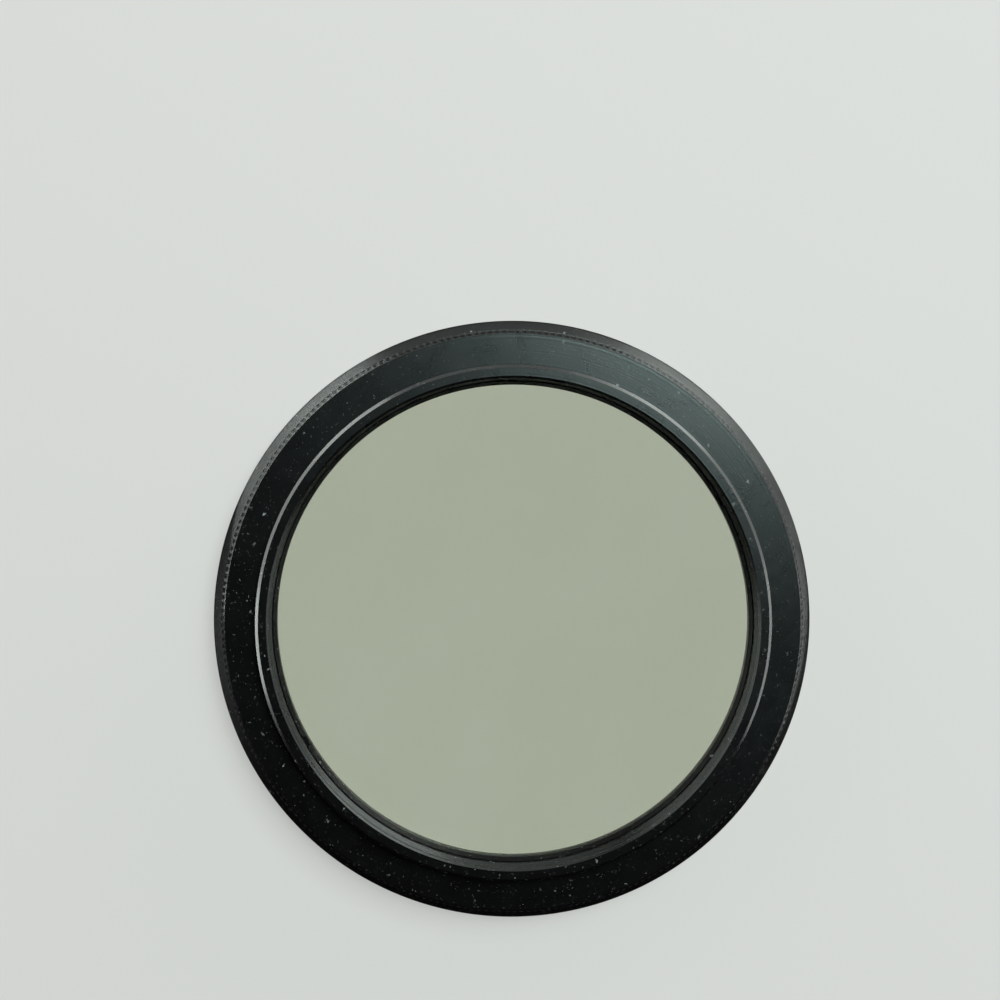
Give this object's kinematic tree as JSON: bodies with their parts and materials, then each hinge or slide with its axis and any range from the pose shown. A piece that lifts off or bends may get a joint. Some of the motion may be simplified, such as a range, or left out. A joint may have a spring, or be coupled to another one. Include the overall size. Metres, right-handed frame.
{
  "type": "screw in lens filter",
  "caption": "Round black screw-in variable-density lens filter: a polariser in a threaded mount ring and another in a wider front ring that turns on it.",
  "frame": {"origin": "middle of the front rim, which the filter lies on", "axes": "+Z along the filter's axis, from the front rim to the lens thread"},
  "size_m": [0.092, 0.092, 0.0116],
  "materials": {
    "anodised_aluminium": "black anodised, satin",
    "spring_steel": "bright drawn wire",
    "polariser_glass": "polished, coated",
    "polarising_film": "clear grey film"
  },
  "bodies": {
    "mount": {"mount_ring": "anodised_aluminium", "rear_retaining_ring": "anodised_aluminium", "snap_wire": "spring_steel", "rear_inner_glass": "polariser_glass", "rear_polarising_film": "polarising_film", "rear_outer_glass": "polariser_glass"},
    "front": {"front_ring": "anodised_aluminium", "front_retaining_ring": "anodised_aluminium", "front_outer_glass": "polariser_glass", "front_polarising_film": "polarising_film", "front_inner_glass": "polariser_glass"}
  },
  "joints": [
    {"name": "front_ring_turn", "type": "hinge", "parent": "mount", "child": "front", "pos_m": [0, 0, 0.00565], "axis": [0, 0, 1], "continuous": true}
  ]
}
